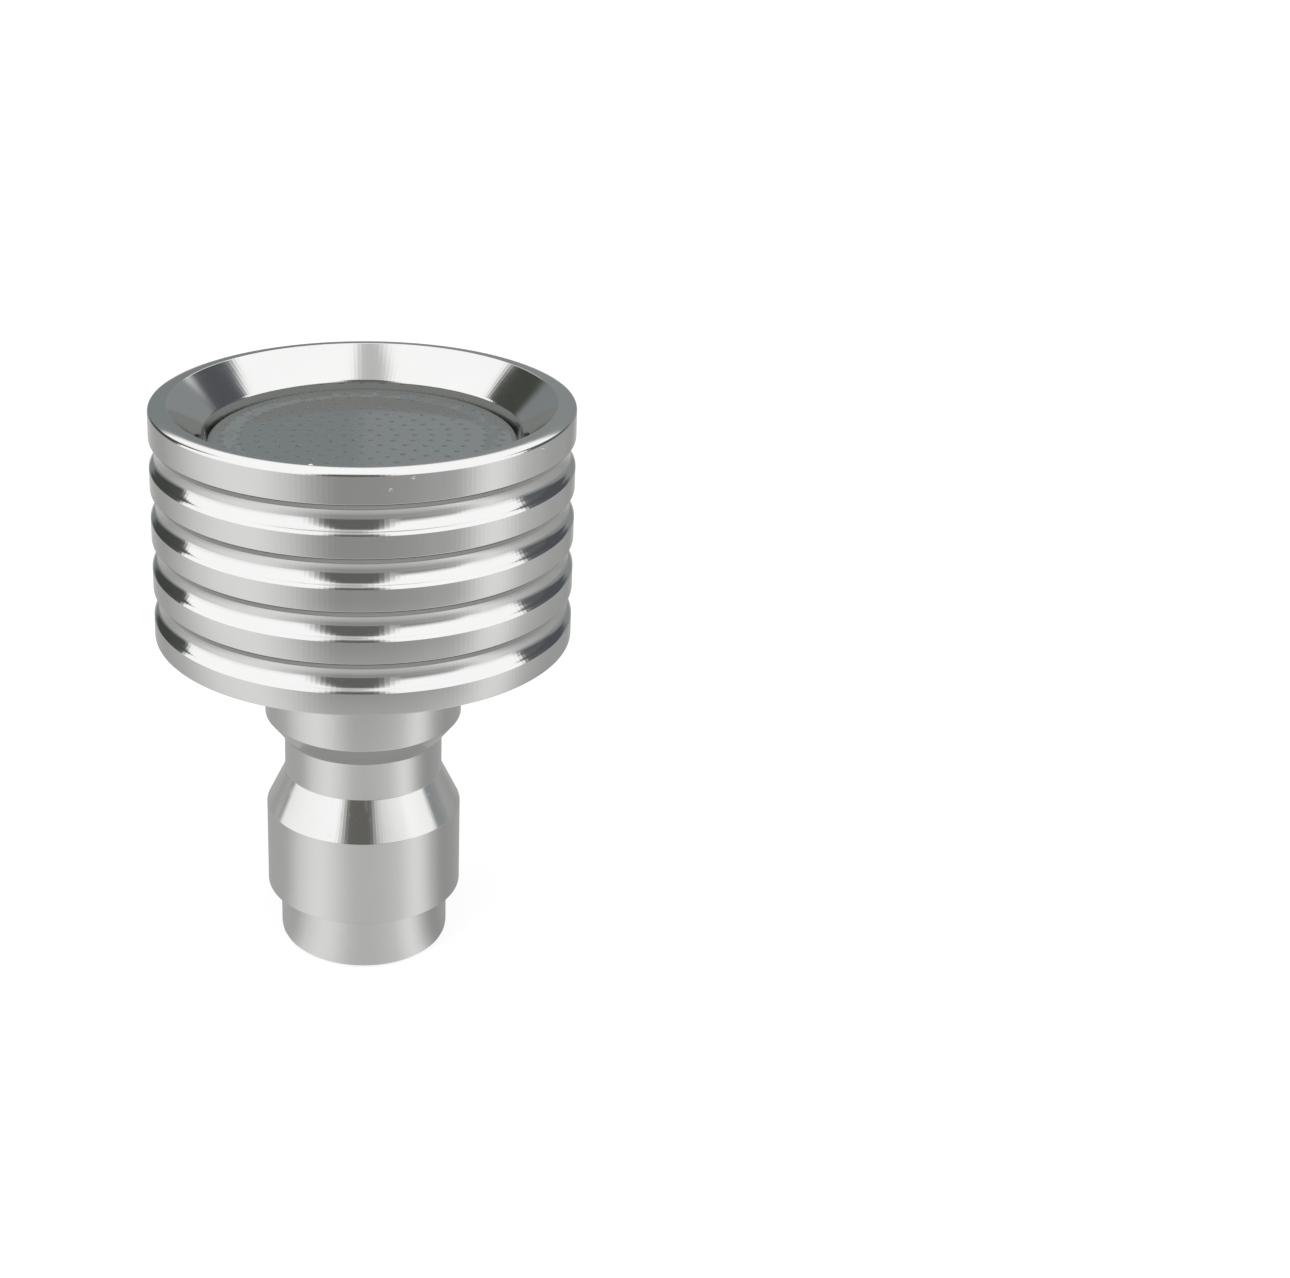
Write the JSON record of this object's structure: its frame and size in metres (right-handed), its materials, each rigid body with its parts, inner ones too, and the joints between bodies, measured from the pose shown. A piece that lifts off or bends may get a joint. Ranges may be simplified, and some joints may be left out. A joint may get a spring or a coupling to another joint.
{
  "type": "pressure washer rinse nozzle",
  "caption": "Stainless-steel rinse nozzle: a ribbed round head with a dished lip and a perforated spray plate, on a quick-connect plug for a pressure-washer lance.",
  "frame": {"origin": "centre of the plug's end face, on which the nozzle stands", "axes": "+Z along the nozzle's axis, from the plug's end towards the spray plate; X and Y are across it"},
  "size_m": [0.029, 0.029, 0.0408],
  "materials": {
    "turned_steel": "fine-turned and polished stainless steel",
    "sheet_steel": "matt stainless-steel sheet, perforated",
    "seal_rubber": "black nitrile rubber"
  },
  "bodies": {
    "plug": {"quick_connect_plug": "turned_steel", "plug_seal_ring": "seal_rubber", "inlet_body": "turned_steel", "body_seal_ring": "seal_rubber"},
    "plate": {"plate_gasket": "seal_rubber", "spray_plate": "sheet_steel"},
    "shell": {"ribbed_shell": "turned_steel"}
  },
  "joints": [
    {"name": "shell_lift", "type": "slide", "parent": "plug", "child": "plate", "axis": [0, 0, 1], "range_m": [0, 0.006]},
    {"name": "shell_turn", "type": "hinge", "parent": "plate", "child": "shell", "pos_m": [0, 0, 0.0325], "axis": [0, 0, 1], "range_deg": [0, 2160]}
  ],
  "couplings": [
    {"joint": "shell_lift", "follows": "shell_turn", "m_per_rad": 0.00015915}
  ]
}
